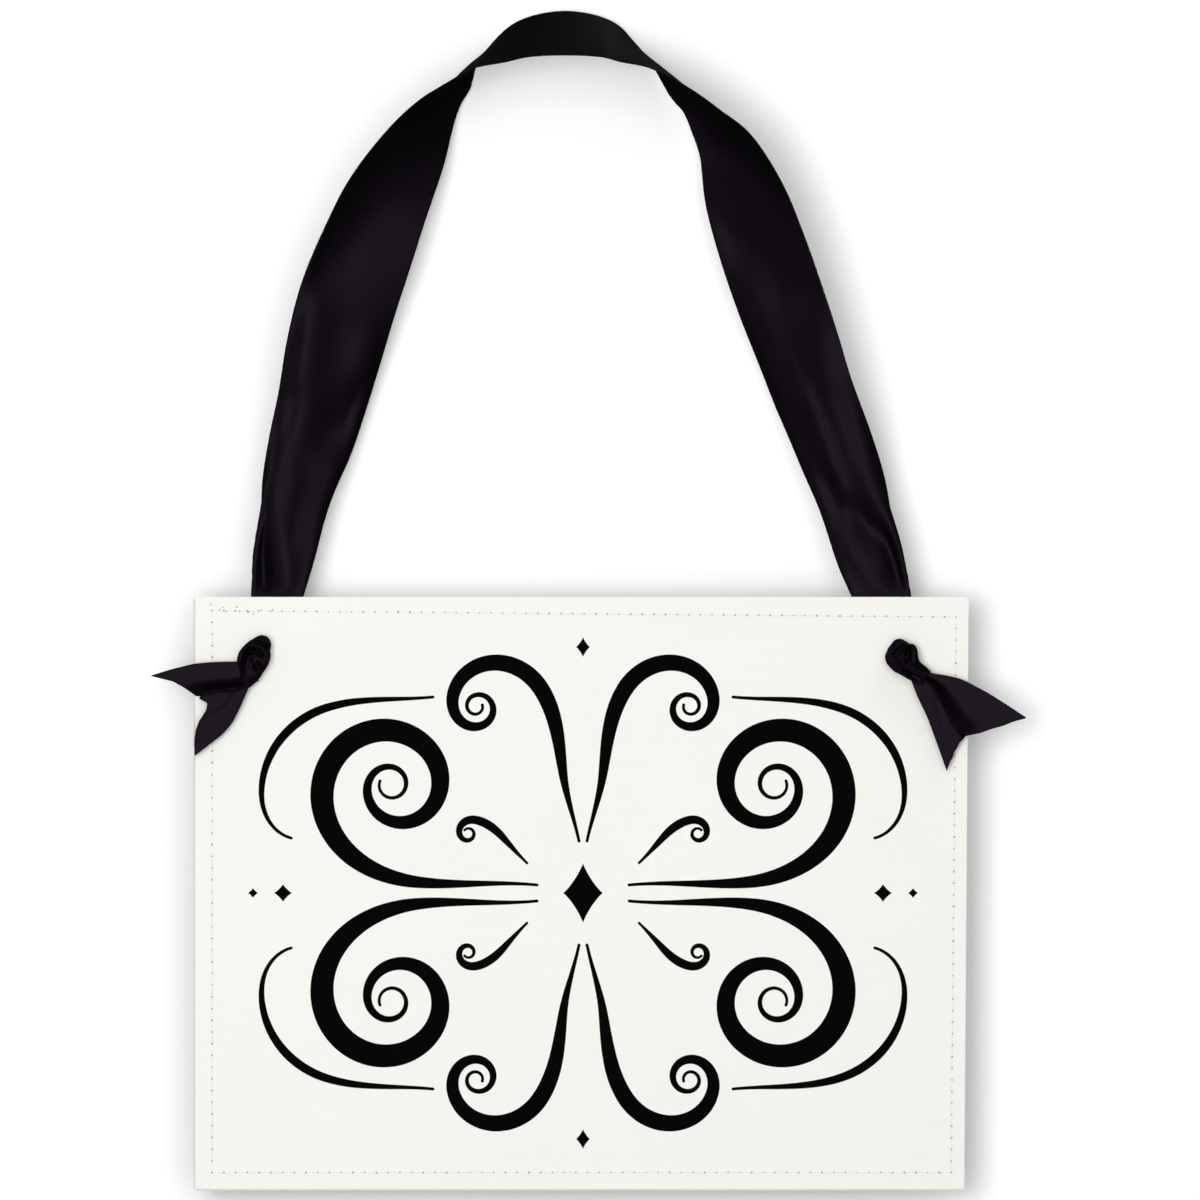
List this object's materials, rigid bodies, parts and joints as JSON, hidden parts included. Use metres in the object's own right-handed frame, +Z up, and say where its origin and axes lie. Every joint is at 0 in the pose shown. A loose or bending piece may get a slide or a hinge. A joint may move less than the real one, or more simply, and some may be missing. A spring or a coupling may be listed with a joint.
{
  "type": "party sign",
  "caption": "Rectangular card sign, two cards sewn together round the edge, hung from a bowed satin ribbon knotted through two punched holes with swallowtail ends.",
  "frame": {"origin": "underside of the ribbon's crown, in the middle of its width, where a hook or peg takes the sign", "axes": "+Z up, front face towards -Y, +X to the viewer's right"},
  "size_m": [0.316, 0.0376, 0.427],
  "materials": {
    "front_card": "matt ivory card with a fine laid texture",
    "backing_card": "matt pale board",
    "thread": "spun sewing thread",
    "satin_ribbon": "soft satin sheen"
  },
  "bodies": {
    "ribbon_loop": {"ribbon_loop": "satin_ribbon"},
    "ribbon_ends": {"left_ribbon_end": "satin_ribbon", "right_ribbon_end": "satin_ribbon"},
    "board": {"front_card": "front_card", "backing_card": "backing_card", "needle_thread": "thread", "bobbin_thread": "thread", "left_knot": "satin_ribbon", "right_knot": "satin_ribbon"},
    "left_tail": {"left_tail": "satin_ribbon"},
    "right_tail": {"right_tail": "satin_ribbon"}
  },
  "joints": [
    {"name": "edge_fold", "type": "hinge", "parent": "ribbon_loop", "child": "ribbon_ends", "pos_m": [0, 0.00105, -0.208], "axis": [1, 0, 0], "range_deg": [-90, 0]},
    {"name": "board_swing", "type": "hinge", "parent": "ribbon_ends", "child": "board", "pos_m": [0, 0.00435, -0.226], "axis": [1, 0, 0], "range_deg": [0, 170]},
    {"name": "left_tail_lift", "type": "hinge", "parent": "board", "child": "left_tail", "pos_m": [-0.1167, -0.00675, -0.2361], "axis": [-0.6361, 0, 0.7716], "range_deg": [0, 70], "stiffness_Nm_per_rad": 0.001},
    {"name": "right_tail_lift", "type": "hinge", "parent": "board", "child": "right_tail", "pos_m": [0.1281, -0.00675, -0.237], "axis": [-0.788, 0, -0.6157], "range_deg": [0, 70], "stiffness_Nm_per_rad": 0.001}
  ]
}
